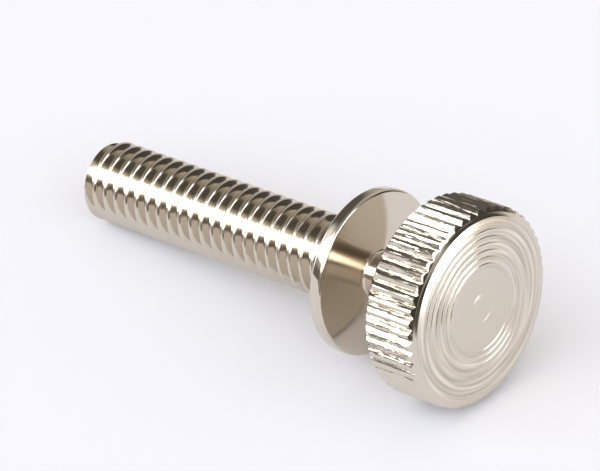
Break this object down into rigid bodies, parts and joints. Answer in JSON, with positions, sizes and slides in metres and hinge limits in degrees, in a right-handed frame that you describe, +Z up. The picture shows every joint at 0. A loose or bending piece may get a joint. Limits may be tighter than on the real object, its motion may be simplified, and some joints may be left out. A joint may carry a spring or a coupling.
{
  "type": "thumb screw",
  "caption": "Round thumb screw with a straight-knurled head, a waisted neck, a thin stop collar and a fully threaded shank, lying at rest on its side.",
  "frame": {"origin": "on the screw's axis, where the underside of the collar meets the shank", "axes": "+Z up as the screw lies at rest; the screw's axis is in the XZ plane, with the tip towards -X and the axis dipping 7.83 degrees towards the tip"},
  "size_m": [0.024, 0.0096, 0.0099],
  "materials": {
    "nickel_plate": "bright warm nickel plate over a turned surface"
  },
  "bodies": {
    "root": {"thumb_screw": "nickel_plate"}
  },
  "joints": []
}
